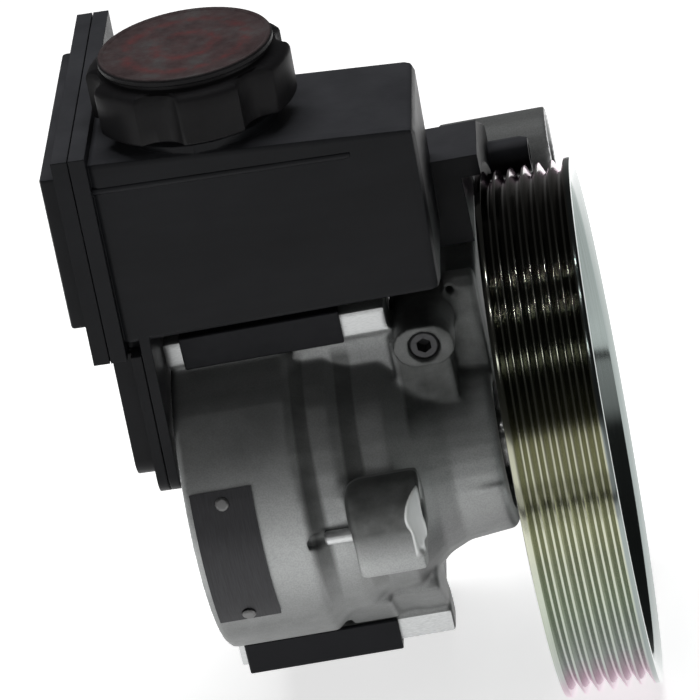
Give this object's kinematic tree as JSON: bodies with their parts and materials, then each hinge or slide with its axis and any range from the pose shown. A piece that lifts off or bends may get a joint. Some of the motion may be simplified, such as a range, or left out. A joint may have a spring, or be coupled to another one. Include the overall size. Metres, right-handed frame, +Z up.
{
  "type": "power steering pump",
  "caption": "Hydraulic vane pump with a ribbed belt pulley, a die-cast housing and a black oil reservoir held on rails by spring clips.",
  "frame": {"origin": "centre of the pump's flat rear face, on the shaft axis", "axes": "+X along the shaft towards the pulley, +Z up through the reservoir's filler cap, -Y towards the nameplate side"},
  "size_m": [0.1265, 0.159, 0.1938],
  "materials": {
    "pump_housing": "as-cast, satin",
    "locating_pin": "ground steel",
    "end_cover": "as-cast, satin",
    "end_cover_o_ring": "moulded rubber",
    "end_cover_retaining_ring": "blackened spring steel",
    "preload_spring": "ground steel",
    "rear_pressure_plate": "ground steel",
    "front_pressure_plate": "ground steel",
    "cam_ring": "ground steel",
    "cartridge_dowel_1": "ground steel",
    "cartridge_dowel_2": "ground steel",
    "shaft_bush": "bronze",
    "shaft_seal": "moulded rubber",
    "bearing_outer_race": "ground steel",
    "bearing_retaining_ring": "blackened spring steel",
    "valve_plug": "ground steel",
    "flow_control_spring": "ground steel",
    "outlet_union": "ground steel",
    "inlet_o_ring": "moulded rubber",
    "suction_strainer": "black glass-filled nylon",
    "reservoir_body": "black glass-filled nylon",
    "reservoir_cover": "black glass-filled nylon",
    "retaining_clip_upper": "blackened spring steel",
    "retaining_clip_lower": "blackened spring steel",
    "nameplate": "blackened spring steel",
    "plate_rivet_1": "ground steel",
    "plate_rivet_2": "ground steel",
    "drive_shaft": "ground steel",
    "rotor": "ground steel",
    "rotor_circlip": "blackened spring steel",
    "bearing_inner_race": "ground steel",
    "pulley_hub": "ground steel",
    "pulley": "zinc-plated, iridescent passivation",
    "pulley_bolt_1": "blackened spring steel",
    "pulley_bolt_2": "blackened spring steel",
    "pulley_bolt_3": "blackened spring steel",
    "bearing_cage": "bronze",
    "bearing_ball_1": "ground steel",
    "bearing_ball_2": "ground steel",
    "bearing_ball_3": "ground steel",
    "bearing_ball_4": "ground steel",
    "bearing_ball_5": "ground steel",
    "bearing_ball_6": "ground steel",
    "bearing_ball_7": "ground steel",
    "flow_control_spool": "ground steel",
    "dipstick": "black glass-filled nylon",
    "cap_seal": "moulded rubber",
    "filler_cap": "black glass-filled nylon",
    "vane_01": "blackened spring steel",
    "vane_02": "blackened spring steel",
    "vane_03": "blackened spring steel",
    "vane_04": "blackened spring steel",
    "vane_05": "blackened spring steel",
    "vane_06": "blackened spring steel",
    "vane_07": "blackened spring steel",
    "vane_08": "blackened spring steel",
    "vane_09": "blackened spring steel",
    "vane_10": "blackened spring steel"
  },
  "bodies": {
    "pump": {"pump_housing": "pump_housing", "locating_pin": "locating_pin", "end_cover": "end_cover", "end_cover_o_ring": "end_cover_o_ring", "end_cover_retaining_ring": "end_cover_retaining_ring", "preload_spring": "preload_spring", "rear_pressure_plate": "rear_pressure_plate", "front_pressure_plate": "front_pressure_plate", "cam_ring": "cam_ring", "cartridge_dowel_1": "cartridge_dowel_1", "cartridge_dowel_2": "cartridge_dowel_2", "shaft_bush": "shaft_bush", "shaft_seal": "shaft_seal", "bearing_outer_race": "bearing_outer_race", "bearing_retaining_ring": "bearing_retaining_ring", "valve_plug": "valve_plug", "flow_control_spring": "flow_control_spring", "outlet_union": "outlet_union", "inlet_o_ring": "inlet_o_ring", "suction_strainer": "suction_strainer", "reservoir_body": "reservoir_body", "reservoir_cover": "reservoir_cover", "retaining_clip_upper": "retaining_clip_upper", "retaining_clip_lower": "retaining_clip_lower", "nameplate": "nameplate", "plate_rivet_1": "plate_rivet_1", "plate_rivet_2": "plate_rivet_2"},
    "shaft": {"drive_shaft": "drive_shaft", "rotor": "rotor", "rotor_circlip": "rotor_circlip", "bearing_inner_race": "bearing_inner_race", "pulley_hub": "pulley_hub", "pulley": "pulley", "pulley_bolt_1": "pulley_bolt_1", "pulley_bolt_2": "pulley_bolt_2", "pulley_bolt_3": "pulley_bolt_3"},
    "ball_cage": {"bearing_cage": "bearing_cage", "bearing_ball_1": "bearing_ball_1", "bearing_ball_2": "bearing_ball_2", "bearing_ball_3": "bearing_ball_3", "bearing_ball_4": "bearing_ball_4", "bearing_ball_5": "bearing_ball_5", "bearing_ball_6": "bearing_ball_6", "bearing_ball_7": "bearing_ball_7"},
    "spool": {"flow_control_spool": "flow_control_spool"},
    "cap_insert": {"dipstick": "dipstick", "cap_seal": "cap_seal"},
    "cap": {"filler_cap": "filler_cap"},
    "vane_01_body": {"vane_01": "vane_01"},
    "vane_02_body": {"vane_02": "vane_02"},
    "vane_03_body": {"vane_03": "vane_03"},
    "vane_04_body": {"vane_04": "vane_04"},
    "vane_05_body": {"vane_05": "vane_05"},
    "vane_06_body": {"vane_06": "vane_06"},
    "vane_07_body": {"vane_07": "vane_07"},
    "vane_08_body": {"vane_08": "vane_08"},
    "vane_09_body": {"vane_09": "vane_09"},
    "vane_10_body": {"vane_10": "vane_10"}
  },
  "joints": [
    {"name": "shaft_spin", "type": "hinge", "parent": "pump", "child": "shaft", "pos_m": [0, 0, 0], "axis": [1, 0, 0], "continuous": true},
    {"name": "cage_spin", "type": "hinge", "parent": "pump", "child": "ball_cage", "pos_m": [0, 0, 0], "axis": [1, 0, 0], "continuous": true},
    {"name": "vane_01_slide", "type": "slide", "parent": "shaft", "child": "vane_01_body", "axis": [0, 1, 0], "range_m": [0, 0.00336]},
    {"name": "vane_02_slide", "type": "slide", "parent": "shaft", "child": "vane_02_body", "axis": [0, 0.809, 0.5878], "range_m": [0, 0.00232]},
    {"name": "vane_03_slide", "type": "slide", "parent": "shaft", "child": "vane_03_body", "axis": [0, 0.309, 0.9511], "range_m": [0, 0.00065]},
    {"name": "vane_04_slide", "type": "slide", "parent": "shaft", "child": "vane_04_body", "axis": [0, -0.309, 0.9511], "range_m": [0, 0.00065]},
    {"name": "vane_05_slide", "type": "slide", "parent": "shaft", "child": "vane_05_body", "axis": [0, -0.809, 0.5878], "range_m": [0, 0.00232]},
    {"name": "vane_06_slide", "type": "slide", "parent": "shaft", "child": "vane_06_body", "axis": [0, -1, 0], "range_m": [0, 0.00336]},
    {"name": "vane_07_slide", "type": "slide", "parent": "shaft", "child": "vane_07_body", "axis": [0, -0.809, -0.5878], "range_m": [0, 0.00232]},
    {"name": "vane_08_slide", "type": "slide", "parent": "shaft", "child": "vane_08_body", "axis": [0, -0.309, -0.9511], "range_m": [0, 0.00065]},
    {"name": "vane_09_slide", "type": "slide", "parent": "shaft", "child": "vane_09_body", "axis": [0, 0.309, -0.9511], "range_m": [0, 0.00065]},
    {"name": "vane_10_slide", "type": "slide", "parent": "shaft", "child": "vane_10_body", "axis": [0, 0.809, -0.5878], "range_m": [0, 0.00232]},
    {"name": "spool_slide", "type": "slide", "parent": "pump", "child": "spool", "axis": [0, -1, 0], "range_m": [0, 0.006], "stiffness_N_per_m": 900, "deforming": ["flow_control_spring"]},
    {"name": "cap_lift", "type": "slide", "parent": "pump", "child": "cap_insert", "axis": [0.0366, 0, 0.9993], "range_m": [0, 0.065]},
    {"name": "cap_turn", "type": "hinge", "parent": "cap_insert", "child": "cap", "pos_m": [0.02228, -0.0049, 0.1165], "axis": [0.0366, 0, 0.9993], "range_deg": [0, 360]}
  ],
  "couplings": [
    {"joint": "cage_spin", "follows": "shaft_spin", "ratio": 0.38}
  ]
}
